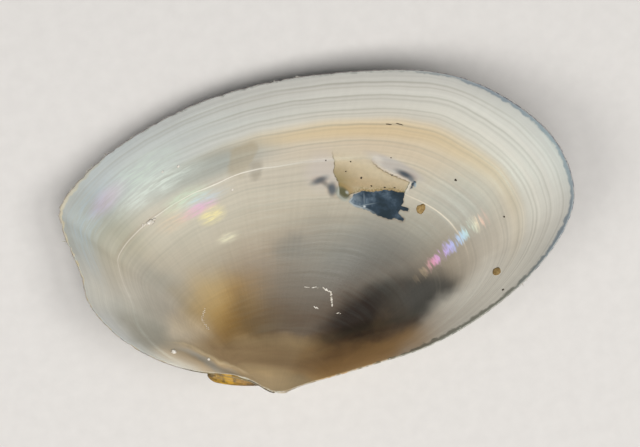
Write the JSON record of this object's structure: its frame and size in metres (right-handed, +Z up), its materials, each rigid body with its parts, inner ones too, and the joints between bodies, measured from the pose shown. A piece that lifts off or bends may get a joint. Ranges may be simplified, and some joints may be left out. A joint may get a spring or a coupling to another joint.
{
  "type": "bivalve shell valve",
  "caption": "One pearly valve of a mussel-like bivalve, hollow side up, with a strip of amber ligament at the hinge.",
  "frame": {"origin": "middle of the shell's box, at its foot, where the belly rests", "axes": "+X along the shell's length towards the rounded long end, +Y from the hinge to the open edge, +Z up out of the hollow"},
  "size_m": [0.0742, 0.0446, 0.0143],
  "materials": {
    "shell": "pearly nacre inside, thin straw-coloured skin outside",
    "horny_ligament": "satin amber horn"
  },
  "bodies": {
    "root": {"valve": "shell", "ligament": "horny_ligament"}
  },
  "joints": []
}
